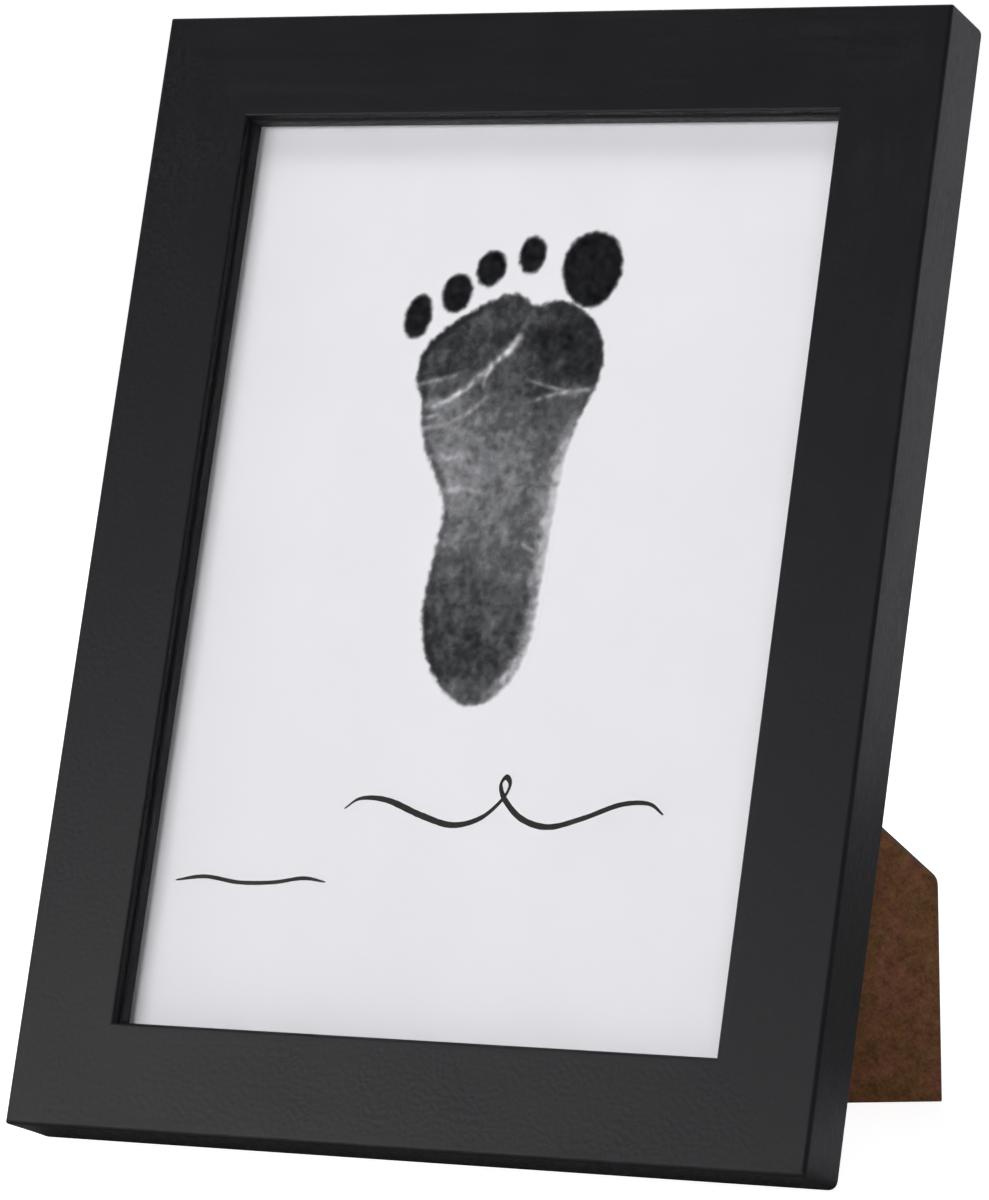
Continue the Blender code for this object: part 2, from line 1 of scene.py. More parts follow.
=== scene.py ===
"""Looks of the standing keepsake frame: satin black moulding, clear sheet, card with an
ink footprint, brown hardboard back and leg, zinc hardware."""

import json
import math

import bmesh
import bpy
import numpy as np
from mathutils import Euler, Matrix, Vector, geometry, noise

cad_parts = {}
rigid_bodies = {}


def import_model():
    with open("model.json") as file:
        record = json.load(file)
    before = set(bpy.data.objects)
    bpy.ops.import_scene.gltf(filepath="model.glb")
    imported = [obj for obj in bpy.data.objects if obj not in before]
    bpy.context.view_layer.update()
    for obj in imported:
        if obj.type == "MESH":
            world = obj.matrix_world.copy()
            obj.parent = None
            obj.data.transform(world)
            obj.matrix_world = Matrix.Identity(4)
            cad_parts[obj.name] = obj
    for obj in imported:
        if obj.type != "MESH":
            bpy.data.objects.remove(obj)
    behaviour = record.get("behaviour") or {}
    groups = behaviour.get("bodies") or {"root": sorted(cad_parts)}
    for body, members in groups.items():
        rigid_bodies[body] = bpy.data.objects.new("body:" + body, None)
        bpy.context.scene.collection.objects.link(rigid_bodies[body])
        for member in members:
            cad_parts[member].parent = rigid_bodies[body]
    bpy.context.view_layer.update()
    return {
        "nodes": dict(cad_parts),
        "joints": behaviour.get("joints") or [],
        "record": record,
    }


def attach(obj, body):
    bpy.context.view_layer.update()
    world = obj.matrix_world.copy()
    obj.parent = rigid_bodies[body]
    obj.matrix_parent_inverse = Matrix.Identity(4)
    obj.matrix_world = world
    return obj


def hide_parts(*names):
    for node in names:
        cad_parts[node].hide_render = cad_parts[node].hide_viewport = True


for old in list(bpy.data.objects):
    bpy.data.objects.remove(old, do_unlink=True)

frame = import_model()
NODES = frame["nodes"]
BODY_OF = {n: b for b, members in frame["record"]["behaviour"]["bodies"].items() for n in members}
MM = 0.001

# ---------------------------------------------------------------- axes
# Face axes: x across, n out of the back, u up the face; the origin is the rear bottom edge.
mount = {m["name"]: m for m in frame["record"]["mounts"]}["bottom_edge"]
U = -Vector(mount["axis"]).normalized()
N = U.cross(Vector((1, 0, 0)))
LEAN = math.atan2(U.y, U.z)
ORIGIN = Vector(mount["pos_m"]) + N * (7.0 * MM)
FACE = Matrix.Translation(ORIGIN) @ Matrix.Rotation(-LEAN, 4, "X")

leg_joint = {j["name"]: j for j in frame["joints"]}["leg_hinge"]
LEG_A = Vector(leg_joint["axis"]).normalized()
LEG_OPEN = math.radians(36.0)
LEG_M = Matrix.Rotation(LEG_OPEN, 3, LEG_A) @ N
LEG_L = LEG_M.cross(LEG_A)
LEG = Matrix((LEG_A, LEG_L, LEG_M)).transposed()

CARD_FACE = -6.74 * MM  # front of the card, along n


def at(x, y, z):
    """Point given in millimetres on the face axes."""
    return FACE @ Vector((x * MM, y * MM, z * MM))


# ---------------------------------------------------------------- materials
class Net:
    """Node tree of one material round a Principled shader."""

    def __init__(self, name, roughness=0.5, metallic=0.0, turn=None):
        self.mat = bpy.data.materials.new(name)
        self.mat.use_nodes = True
        self.tree = self.mat.node_tree
        self.tree.nodes.clear()
        self.out = self.node("ShaderNodeOutputMaterial")
        self.shader = self.node("ShaderNodeBsdfPrincipled")
        self.shader.inputs["Roughness"].default_value = roughness
        self.shader.inputs["Metallic"].default_value = metallic
        self.link(self.shader.outputs[0], self.out.inputs["Surface"])
        self.coords = self.node("ShaderNodeTexCoord").outputs["Object"]
        if turn is not None:
            self.coords = self.mapped(rotation=turn)

    def node(self, kind, **values):
        made = self.tree.nodes.new(kind)
        for key, value in values.items():
            if isinstance(value, bpy.types.NodeSocket):
                self.link(value, made.inputs[key])
            elif key in made.inputs.keys():
                made.inputs[key].default_value = value
            else:
                setattr(made, key, value)
        return made

    def link(self, a, b):
        self.tree.links.new(a, b)

    def mapped(self, rotation=None, scale=(1, 1, 1), location=(0, 0, 0)):
        made = self.node("ShaderNodeMapping", Scale=scale, Location=location)
        if rotation is not None:
            made.inputs["Rotation"].default_value = rotation
        self.link(self.coords, made.inputs["Vector"])
        return made.outputs[0]

    def noise(self, scale=(1, 1, 1), detail=3.0, rough=0.55, distort=0.0, location=(0, 0, 0)):
        made = self.node("ShaderNodeTexNoise", Scale=1.0, Detail=detail, Roughness=rough, Distortion=distort)
        self.link(self.mapped(scale=scale, location=location), made.inputs["Vector"])
        return made.outputs["Fac"]

    def math(self, operation, a, b=0.0, c=0.0, clamp=False):
        made = self.node("ShaderNodeMath", operation=operation, use_clamp=clamp)
        for k, value in enumerate((a, b, c)):
            if isinstance(value, bpy.types.NodeSocket):
                self.link(value, made.inputs[k])
            else:
                made.inputs[k].default_value = value
        return made.outputs[0]

    def spread(self, value, low, high, to_low=0.0, to_high=1.0):
        made = self.node("ShaderNodeMapRange", clamp=True)
        self.link(value, made.inputs["Value"])
        for key, number in (("From Min", low), ("From Max", high), ("To Min", to_low), ("To Max", to_high)):
            made.inputs[key].default_value = number
        return made.outputs[0]

    def ramp(self, value, stops):
        made = self.node("ShaderNodeValToRGB")
        line = made.color_ramp
        while len(line.elements) < len(stops):
            line.elements.new(0.5)
        for element, (place, colour) in zip(line.elements, stops):
            element.position = place
            element.color = (*colour, 1.0)
        self.link(value, made.inputs["Fac"])
        return made.outputs["Color"]

    def mix(self, factor, a, b, blend="MIX"):
        made = self.node("ShaderNodeMix", data_type="RGBA", blend_type=blend)
        for key, value in ((0, factor), (6, a), (7, b)):
            if isinstance(value, bpy.types.NodeSocket):
                self.link(value, made.inputs[key])
            elif isinstance(value, tuple):
                made.inputs[key].default_value = (*value, 1.0)
            else:
                made.inputs[key].default_value = value
        return made.outputs[2]

    def bump(self, height, strength, distance):
        made = self.node("ShaderNodeBump", Strength=strength, Distance=distance)
        self.link(height, made.inputs["Height"])
        self.link(made.outputs[0], self.shader.inputs["Normal"])

    def colour(self, socket):
        self.link(socket, self.shader.inputs["Base Color"])

    def roughness(self, socket):
        self.link(socket, self.shader.inputs["Roughness"])


FACE_TURN = Euler((LEAN, 0, 0))
LEG_TURN = LEG.inverted().to_euler()


def satin_black(name, along, specular=0.5, brush=None, deep=1.0):
    """Black satin paint: a soft mottle that comes and goes, or brush marks that run along x or u
    (brush: marks to the metre along their run)."""
    net = Net(name, turn=FACE_TURN)
    mark, soft = (0.6, 0.5) if brush else (0.25, 1.15)
    fine, long = (950.0, brush or 45.0), (420.0, 14.0)
    if along == "x":
        streak = net.noise((fine[1], fine[0], fine[0]), 2.0, 0.5)
        band = net.noise((long[1], long[0], long[0]), 2.0, 0.5, location=(3, 1, 7))
    else:
        streak = net.noise((fine[0], fine[0], fine[1]), 2.0, 0.5)
        band = net.noise((long[0], long[0], long[1]), 2.0, 0.5, location=(5, 2, 1))
    nap = net.noise((1020, 1020, 1020), 0.7, 0.5)
    dust = net.noise((2200, 2200, 2200), 2.0, 0.5, location=(4, 4, 1))
    cloud = net.noise((85, 85, 85), 3.0, 0.6)
    patch = net.spread(cloud, 0.4, 0.6, 0.5, 1.0)
    grain = net.math("MULTIPLY_ADD", streak, 0.75, net.math("MULTIPLY", band, 0.25))
    relief = net.math("MULTIPLY_ADD", nap, soft, net.math("MULTIPLY_ADD", grain, mark, -0.5 * (soft + mark)))
    relief = net.math("MULTIPLY_ADD", relief, patch, net.math("MULTIPLY_ADD", dust, 0.14, -0.07))
    tone = net.math("ADD", relief, net.math("MULTIPLY_ADD", cloud, 0.25, 0.375))
    shades = [(0.3, (0.0048, 0.0048, 0.0062)), (0.5, (0.0080, 0.0080, 0.0099)), (0.7, (0.0122, 0.0122, 0.0144))]
    # deep below 1 scales these colours down as painted shade; it is used for the stiles' inner walls
    net.colour(net.ramp(tone, [(stop, tuple(deep * v for v in shade)) for stop, shade in shades]))
    net.roughness(net.spread(tone, 0.32, 0.68, 0.47, 0.65))
    net.bump(relief, 0.5, 0.00018)
    net.shader.inputs["Specular IOR Level"].default_value = specular
    return net.mat


def card_paper():
    net = Net("card_paper", 0.86, turn=FACE_TURN)
    cloud = net.noise((34, 34, 34), 3.0, 0.6)
    fibre = net.noise((2600, 2600, 700), 4.0, 0.65, 0.6)
    tone = net.math("MULTIPLY_ADD", fibre, 0.3, net.math("MULTIPLY", cloud, 0.7))
    net.colour(net.ramp(tone, [(0.3, (0.815, 0.807, 0.848)), (0.7, (0.855, 0.848, 0.880))]))
    net.bump(fibre, 0.12, 0.00004)
    net.shader.inputs["Specular IOR Level"].default_value = 0.03
    return net.mat


def print_ink():
    """Stamped ink: the weight carried by the mesh, broken up by skin and paper; no weight is bare card."""
    net = Net("print_ink", 0.75, turn=FACE_TURN)
    weight = net.node("ShaderNodeAttribute", attribute_name="ink_weight").outputs["Fac"]
    patch = net.noise((430, 430, 430), 3.0, 0.6, 0.5)
    grit = net.noise((1000, 1000, 1000), 3.0, 0.62, 0.3, location=(2, 0, 5))
    tooth = net.noise((2300, 2300, 2300), 2.0, 0.6, location=(7, 3, 1))
    rough = net.math("ADD", net.math("MULTIPLY_ADD", patch, 1.7, -0.85), net.math("MULTIPLY_ADD", grit, 0.7, -0.35))
    rough = net.math("ADD", rough, net.math("MULTIPLY_ADD", tooth, 0.14, -0.07))
    hold = net.math("MULTIPLY", net.spread(weight, 0.02, 0.3, 0.0, 0.21), net.spread(weight, 0.78, 0.95, 1.0, 0.25))
    tone = net.math("MULTIPLY_ADD", rough, hold, weight, clamp=True)
    net.colour(
        net.ramp(
            tone,
            [
                (0.0, (0.835, 0.828, 0.864)),
                (0.14, (0.60, 0.598, 0.625)),
                (0.36, (0.27, 0.272, 0.285)),
                (0.58, (0.108, 0.110, 0.116)),
                (0.78, (0.036, 0.037, 0.040)),
                (1.0, (0.0035, 0.0036, 0.0040)),
            ],
        )
    )
    net.bump(grit, 0.1, 0.00003)
    net.shader.inputs["Specular IOR Level"].default_value = 0.03
    return net.mat


def pen_ink():
    net = Net("pen_ink", 0.55, turn=FACE_TURN)
    skip = net.noise((1700, 1700, 1700), 3.0, 0.6)
    net.colour(net.ramp(skip, [(0.3, (0.008, 0.0066, 0.006)), (0.75, (0.024, 0.019, 0.0165))]))
    net.shader.inputs["Specular IOR Level"].default_value = 0.3
    return net.mat


def hardboard(name, turn, flat):
    """Pressed brown board: warm mottle, short fibres, and darker sawn edges."""
    net = Net(name, 0.62, turn=turn)
    cloud = net.noise((150, 150, 150), 3.0, 0.6, 0.6)
    blot = net.noise((420, 420, 420), 3.0, 0.6, 0.5, location=(4, 9, 2))
    speck = net.noise((1500, 1500, 1500), 3.0, 0.65)
    fibre = net.noise((1500, 520, 1500), 3.0, 0.7, 2.4, location=(1, 6, 3))
    hue = net.ramp(cloud, [(0.36, (0.236, 0.121, 0.046)), (0.5, (0.262, 0.119, 0.053)), (0.64, (0.280, 0.118, 0.066))])
    dark = net.math("ADD", net.math("MULTIPLY", blot, 0.4), net.math("MULTIPLY_ADD", speck, 0.35, net.math("MULTIPLY", fibre, 0.35)))
    shade = net.ramp(dark, [(0.40, (0.46, 0.45, 0.44)), (0.54, (0.96, 0.96, 0.98)), (0.70, (1.6, 1.58, 1.6))])
    body = net.mix(1.0, hue, shade, "MULTIPLY")
    face = net.node("ShaderNodeTexCoord").outputs["Normal"]
    facing = net.node("ShaderNodeVectorMath", operation="DOT_PRODUCT")
    net.link(face, facing.inputs[0])
    facing.inputs[1].default_value = flat
    edge = net.spread(net.math("ABSOLUTE", facing.outputs["Value"]), 0.3, 0.85, 0.7, 0.0)
    net.colour(net.mix(edge, body, (0.066, 0.038, 0.023)))
    net.roughness(net.spread(speck, 0.3, 0.7, 0.55, 0.75))
    net.bump(net.math("MULTIPLY_ADD", fibre, 0.6, net.math("MULTIPLY", speck, 0.5)), 0.4, 0.00012)
    net.shader.inputs["Specular IOR Level"].default_value = 0.35
    return net.mat


def grey_board():
    net = Net("grey_board", 0.9, turn=FACE_TURN)
    fleck = net.noise((900, 900, 900), 4.0, 0.65)
    net.colour(net.ramp(fleck, [(0.3, (0.30, 0.28, 0.25)), (0.55, (0.42, 0.40, 0.37)), (0.75, (0.50, 0.48, 0.45))]))
    net.bump(fleck, 0.3, 0.0001)
    return net.mat


def zinc(name, turn):
    """Bright zinc on stamped steel: faint rolling lines, cloudy plate, small dull spots."""
    net = Net(name, 0.3, 1.0, turn)
    cloud = net.noise((260, 260, 260), 4.0, 0.6, 0.6)
    line = net.noise((2600, 140, 2600), 2.0, 0.5)
    spot = net.noise((1500, 1500, 1500), 3.0, 0.6)
    tone = net.math("ADD", net.math("MULTIPLY", cloud, 0.6), net.math("MULTIPLY", spot, 0.4))
    net.colour(net.ramp(tone, [(0.3, (0.40, 0.41, 0.43)), (0.5, (0.56, 0.57, 0.58)), (0.7, (0.68, 0.68, 0.67))]))
    net.roughness(net.spread(net.math("MULTIPLY_ADD", line, 0.5, net.math("MULTIPLY", cloud, 0.5)), 0.3, 0.7, 0.22, 0.46))
    net.bump(net.math("MULTIPLY_ADD", line, 0.6, net.math("MULTIPLY", spot, 0.3)), 0.12, 0.00004)
    return net.mat


def clear_sheet():
    """Clear sheet that lets light through to the card."""
    mat = bpy.data.materials.new("clear_sheet")
    mat.use_nodes = True
    tree = mat.node_tree
    tree.nodes.clear()
    out = tree.nodes.new("ShaderNodeOutputMaterial")
    glass = tree.nodes.new("ShaderNodeBsdfPrincipled")
    glass.inputs["Base Color"].default_value = (1.0, 1.0, 1.0, 1.0)
    glass.inputs["Roughness"].default_value = 0.0
    glass.inputs["IOR"].default_value = 1.3
    glass.inputs["Transmission Weight"].default_value = 1.0
    clear = tree.nodes.new("ShaderNodeBsdfTransparent")
    path = tree.nodes.new("ShaderNodeLightPath")
    shader = glass.outputs[0]
    for ray in ("Is Shadow Ray", "Is Diffuse Ray"):
        mix = tree.nodes.new("ShaderNodeMixShader")
        tree.links.new(path.outputs[ray], mix.inputs[0])
        tree.links.new(shader, mix.inputs[1])
        tree.links.new(clear.outputs[0], mix.inputs[2])
        shader = mix.outputs[0]
    tree.links.new(shader, out.inputs["Surface"])
    return mat


TOP = satin_black("satin_black_top", "x", brush=45.0)
BOTTOM = satin_black("satin_black_bottom", "x")
LEFT = satin_black("satin_black_left", "u")
RIGHT = satin_black("satin_black_right", "u", brush=170.0)
RAIL_WALL = satin_black("dull_black_rail", "x", 0.32)
# inner walls of the stiles: duller gloss, and a base colour painted darker (deep 0.8) as shade in the recess of the
# opening
STILE_WALL_PAINTED_SHADE = satin_black("dull_black_stile_painted_shade", "u", 0.2, deep=0.8)
PAPER = card_paper()
INK = print_ink()
PEN = pen_ink()
PANEL = hardboard("panel_hardboard", FACE_TURN, tuple(N))
LEG_BOARD = hardboard("leg_hardboard", LEG_TURN, tuple(LEG_M))
BOARD = grey_board()
ZINC = zinc("zinc_plate", FACE_TURN)
ZINC_LEG = zinc("zinc_plate_leg", LEG_TURN)
SHEET = clear_sheet()


# ---------------------------------------------------------------- pieces from the CAD solids
HALF_W, HALF_H = 79.0, 104.0
CORNER = (0.4, 1.7)  # at the front and at the rear


def ease_corners(bm, upright):
    """Closes the mitres of one length of moulding and rounds the frame's outer corners, seen from the front."""
    back = FACE.inverted()
    across = Vector((0, 0, 1)) if upright else Vector((1, 0, 0))
    end = HALF_H if upright else HALF_W
    middle = Vector((0, 0, HALF_H)) if upright else Vector((0, 0, 0))
    for share in (1.0, 0.75, 0.53, 0.36, 0.22, 0.1):
        for side in (-1, 1):
            spot = middle + across * (side * (end - CORNER[1] * share))
            bmesh.ops.bisect_plane(
                bm,
                geom=bm.verts[:] + bm.edges[:] + bm.faces[:],
                dist=1e-8,
                plane_co=at(*spot),
                plane_no=FACE.to_3x3() @ across,
            )
    for vert in bm.verts:
        p = (back @ vert.co) / MM
        x, z = HALF_W - abs(p.x), HALF_H - abs(p.z - HALF_H)
        if upright and z - x < 0.06:
            z = x + 0.004
        elif not upright and x - z < 0.06:
            x = z + 0.004
        radius = CORNER[0] + (CORNER[1] - CORNER[0]) * min(max(1 + p.y / 14.0, 0.0), 1.0)
        a, b = radius - x, radius - z
        if a > 0 and b > 0:
            shrink = max(a, b) / math.hypot(a, b)
            x, z = radius - a * shrink, radius - b * shrink
        vert.co = at(math.copysign(HALF_W - x, p.x), p.y, HALF_H + math.copysign(HALF_H - z, p.z - HALF_H))


def dress(node, material, bevel=0.0, segments=2, smooth=35, wall=None):
    """Clean copy of a CAD solid with eased edges, shown in its place; wall is (material, way, ...)
    for the faces in front of the sheet that look one of those ways."""
    source = NODES[node].data
    mesh = bpy.data.meshes.new(node + "_skin")
    mesh.from_pydata([v.co for v in source.vertices], [], [tuple(p.vertices) for p in source.polygons])
    bm = bmesh.new()
    bm.from_mesh(mesh)
    bmesh.ops.remove_doubles(bm, verts=bm.verts, dist=1e-6)
    bmesh.ops.dissolve_limit(bm, angle_limit=math.radians(0.4), use_dissolve_boundaries=False, verts=bm.verts, edges=bm.edges)
    bmesh.ops.recalc_face_normals(bm, faces=bm.faces)
    if wall:
        ease_corners(bm, abs(wall[1][0]) > 0)
        bm.normal_update()
        for face in bm.faces:
            there = FACE.inverted() @ face.calc_center_median()
            looks = FACE.to_3x3().inverted() @ face.normal
            if there.y < -8.8 * MM and any(looks.dot(Vector(way)) > 0.6 for way in wall[1:]):
                face.material_index = 1
    bm.to_mesh(mesh)
    bm.free()
    piece = bpy.data.objects.new(node + "_skin", mesh)
    bpy.context.scene.collection.objects.link(piece)
    mesh.materials.append(material)
    if wall:
        mesh.materials.append(wall[0])
    mesh.shade_smooth()
    mesh.set_sharp_from_angle(angle=math.radians(smooth))
    if wall:
        even = piece.modifiers.new("even", "WEIGHTED_NORMAL")
        even.keep_sharp = True
    if bevel:
        ease = piece.modifiers.new("ease", "BEVEL")
        ease.width = bevel * MM
        ease.segments = segments
        ease.limit_method = "ANGLE"
        ease.angle_limit = math.radians(40)
        ease.use_clamp_overlap = True
        ease.harden_normals = True
    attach(piece, BODY_OF[node])
    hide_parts(node)
    return piece


dress("top_rail", TOP, wall=(RAIL_WALL, (0, 0, -1)))
dress("bottom_rail", BOTTOM, wall=(RAIL_WALL, (0, 0, 1), (0, 0, -1)))
# the stiles' inner walls take the darker material, which is painted shade
dress("left_stile", LEFT, wall=(STILE_WALL_PAINTED_SHADE, (1, 0, 0)))
dress("right_stile", RIGHT, wall=(STILE_WALL_PAINTED_SHADE, (-1, 0, 0)))
dress("print_card", PAPER)
dress("backing_card", BOARD)
dress("back_panel", PANEL, 0.18, 2)
dress("easel_leg", LEG_BOARD, 0.3, 3)
dress("glass_sheet", SHEET)
for name in NODES:
    if name.endswith(("_v_nail", "_tack", "_rivet", "_screw", "_pin", "_ring")) and not name.startswith("leg_"):
        dress(name, ZINC, 0.06 if name.endswith("_v_nail") else 0.0, 2, 40)
for name in ("hinge_panel_leaf", "ring_strap", "saw_hanger"):
    dress(name, ZINC, 0.14, 2, 40)
for name in ("top", "bottom", "left", "right"):
    dress(f"{name}_turn_button", ZINC, 0.2, 3, 40)
dress("hinge_leg_leaf", ZINC_LEG, 0.14, 2, 40)
for name in ("leg_low_rivet", "leg_high_rivet"):
    dress(name, ZINC_LEG, 0.0, 2, 40)


# ---------------------------------------------------------------- ink on the card
def curve_through(points, closed, step=0.25):
    """Smooth line through the points, in steps of about step millimetres."""
    pts = [Vector(p) for p in points]
    count = len(pts)
    line = []
    for i in range(count if closed else count - 1):
        a, b = pts[i], pts[(i + 1) % count]
        before = pts[i - 1] if closed or i else a + (a - b)
        after = pts[(i + 2) % count] if closed or i + 2 < count else b + (b - a)
        steps = max(2, round((b - a).length / step))
        for k in range(steps):
            t = k / steps
            line.append(
                0.5
                * (
                    2 * a
                    + (b - before) * t
                    + (2 * before - 5 * a + 4 * b - after) * t * t
                    + (3 * a - before - 3 * b + after) * t ** 3
                )
            )
    if not closed:
        line.append(pts[-1])
    return line


def distance_to(points, line, closed=False):
    """Distance of each point from a line, in millimetres."""
    pts = np.array([tuple(p) for p in points], float)
    ends = np.array([tuple(p) for p in line], float)
    if closed:
        ends = np.vstack([ends, ends[:1]])
    best = np.full(len(pts), 1e9)
    for a, b in zip(ends[:-1], ends[1:]):
        d = b - a
        t = np.clip(((pts - a) @ d) / max(d @ d, 1e-12), 0, 1)
        best = np.minimum(best, np.hypot(*(pts - a - t[:, None] * d).T))
    return best


def inside(points, line):
    pts = np.array([tuple(p) for p in points], float)
    ends = np.array([tuple(p) for p in line], float)
    hit = np.zeros(len(pts), bool)
    for a, b in zip(ends, np.roll(ends, -1, 0)):
        cross = (a[1] > pts[:, 1]) != (b[1] > pts[:, 1])
        with np.errstate(divide="ignore", invalid="ignore"):
            x = (b[0] - a[0]) * (pts[:, 1] - a[1]) / (b[1] - a[1]) + a[0]
        hit ^= cross & (pts[:, 0] < x)
    return hit


def film(name, flat, faces, material, weight=None, top=0.055, bottom=0.01):
    """Thin closed film on the card, from a flat mesh in face millimetres."""
    mesh = bpy.data.meshes.new(name)
    bm = bmesh.new()
    layer = bm.verts.layers.float.new("ink_weight")
    front, rear = [], []
    for k, (x, z) in enumerate(flat):
        for level, row in ((top, front), (bottom, rear)):
            vert = bm.verts.new(FACE @ Vector((x * MM, CARD_FACE - level * MM, z * MM)))
            vert[layer] = 1.0 if weight is None else float(weight[k])
            row.append(vert)
    sides = {}
    for face in faces:
        area = sum(flat[a][0] * flat[b][1] - flat[b][0] * flat[a][1] for a, b in zip(face, (*face[1:], face[0])))
        ring = list(face) if area > 0 else list(reversed(face))
        bm.faces.new([front[k] for k in ring])
        bm.faces.new([rear[k] for k in reversed(ring)])
        for a, b in zip(ring, (*ring[1:], ring[0])):
            if (b, a) in sides:
                del sides[b, a]
            else:
                sides[a, b] = True
    for a, b in sides:
        bm.faces.new([front[b], front[a], rear[a], rear[b]])
    bmesh.ops.delete(bm, geom=[v for v in bm.verts if not v.link_faces], context="VERTS")
    bm.to_mesh(mesh)
    bm.free()
    piece = bpy.data.objects.new(name, mesh)
    bpy.context.scene.collection.objects.link(piece)
    mesh.materials.append(material)
    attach(piece, "frame")
    return piece


def widened(line, amount):
    """Outline set out by a distance, for a line that runs counterclockwise."""
    made = []
    for i, p in enumerate(line):
        along = line[(i + 1) % len(line)] - line[i - 1]
        made.append(p + Vector((along.y, -along.x)).normalized() * amount)
    return made


def stamp(name, shapes, pitch):
    """One film over all the inked shapes, each (outline, shade); shade gives the ink at each point
    from its depth inside the outline."""
    rims = [widened(outline, 0.95) for outline, _ in shapes]
    low = Vector((min(p.x for rim in rims for p in rim), min(p.y for rim in rims for p in rim)))
    high = Vector((max(p.x for rim in rims for p in rim), max(p.y for rim in rims for p in rim)))
    grid = []
    row = 0
    z = low.y
    while z < high.y:
        x = low.x + (pitch / 2 if row % 2 else 0.0)
        while x < high.x:
            grid.append((x, z))
            x += pitch
        z += pitch * 0.87
        row += 1
    grid = np.array(grid)
    held, clear = np.zeros(len(grid), bool), np.ones(len(grid), bool)
    for rim in rims:
        held |= inside(grid, rim)
        clear &= distance_to(grid, rim, True) > pitch * 0.45
    points, edges = [], []
    for rim in rims:
        first = len(points)
        points += [Vector((p.x, p.y)) for p in rim]
        edges += [(first + k, first + (k + 1) % len(rim)) for k in range(len(rim))]
    points += [Vector(p) for p in grid[held & clear]]
    flat, _, faces, _, _, _ = geometry.delaunay_2d_cdt(points, edges, [], 1, 1e-6)
    spots = np.array([tuple(p) for p in flat], float)
    weight = np.zeros(len(spots))
    for (outline, shade), rim in zip(shapes, rims):
        near = np.flatnonzero(inside(spots, rim))
        depth = distance_to(spots[near], outline, True) * np.where(inside(spots[near], outline), 1.0, -1.0)
        weight[near] = np.maximum(weight[near], shade(spots[near], depth))
    return film(name, [tuple(p) for p in flat], faces, INK, weight)


def cloudy(points, scale, seed):
    """Smooth random value at each point, with patches about 1/scale millimetres across."""
    return np.array([noise.noise(Vector((x * scale, z * scale, seed))) for x, z in points])


def step(value, low, high):
    t = np.clip((value - low) / (high - low), 0, 1)
    return t * t * (3 - 2 * t)


def bell(value, middle, width):
    return np.exp(-(((value - middle) / width) ** 2))


def crease(points, line, width, lost, seed):
    """Share of ink left by a skin fold: strongest in the middle of the line, broken along it."""
    ends = np.array([tuple(p) for p in curve_through(line, False, 0.5)], float)
    best, share = np.full(len(points), 1e9), np.zeros(len(points))
    for k, (a, b) in enumerate(zip(ends[:-1], ends[1:])):
        d = b - a
        t = np.clip(((points - a) @ d) / max(d @ d, 1e-12), 0, 1)
        away = np.hypot(*(points - a - t[:, None] * d).T)
        near = away < best
        best[near], share[near] = away[near], (k + t[near]) / (len(ends) - 1)
    close = best < 4 * width
    broken = np.ones(len(points))
    broken[close] = 0.8 + 0.75 * cloudy(points[close], 0.75, seed)
    run = np.clip(np.minimum(share * 7, (1 - share) * 4), 0, 1)
    return 1.0 - np.clip(lost * run * broken * np.exp(-((best / width) ** 2)), 0, 0.96)


SOLE = [
    (-20.4, 143.4), (-19.2, 147.2), (-14.8, 151.2), (-9.2, 154.6), (-3.8, 156.9), (-0.6, 156.3),
    (2.0, 154.6), (4.8, 155.5), (8.4, 155.4), (12.4, 153.1), (15.4, 149.6), (16.6, 145.2),
    (16.2, 140.4), (14.5, 136.2), (12.8, 131.0), (11.6, 124.8), (10.9, 115.0), (10.5, 105.0),
    (10.2, 97.0), (9.4, 91.2), (7.2, 85.8), (3.5, 82.0), (-0.6, 80.6), (-4.8, 82.2),
    (-9.0, 86.6), (-11.7, 92.3), (-12.7, 97.6), (-12.3, 104.0), (-11.7, 110.6), (-11.3, 116.4),
    (-13.2, 121.6), (-16.2, 126.6), (-18.0, 131.6), (-18.9, 137.0), (-20.3, 140.0),
]
FOLDS = [
    ([(-20.5, 135.3), (-15.2, 136.2), (-10.6, 138.8), (-5.6, 143.2), (-1.2, 148.0), (1.4, 154.6)], 0.76, 0.7),
    ([(-3.6, 145.0), (-1.2, 147.6), (0.2, 149.2)], 0.75, 0.6),
    ([(-5.2, 143.8), (-6.4, 141.0), (-6.6, 138.6)], 0.45, 0.55),
    ([(16.0, 139.2), (11.6, 138.9), (6.6, 137.9), (1.8, 136.2)], 0.5, 0.5),
    ([(10.4, 138.8), (5.6, 139.8), (1.4, 141.2)], 0.4, 0.45),
    ([(-21.0, 139.4), (-14.6, 141.0), (-10.2, 142.4)], 0.5, 0.4),
    ([(-20.0, 131.4), (-13.4, 132.4), (-8.2, 135.2), (-5.0, 138.4)], 0.5, 0.48),
    ([(-19.6, 133.4), (-14.4, 134.2)], 0.4, 0.5),
    ([(-18.0, 126.6), (-12.6, 126.0), (-7.6, 126.8)], 0.6, 0.4),
    ([(-14.0, 119.4), (-8.4, 120.4), (-2.6, 119.8)], 0.6, 0.35),
    ([(5.2, 110.8), (8.6, 108.8)], 0.4, 0.4),
    ([(2.6, 83.6), (5.4, 86.2), (8.6, 89.8)], 0.6, 0.35),
]


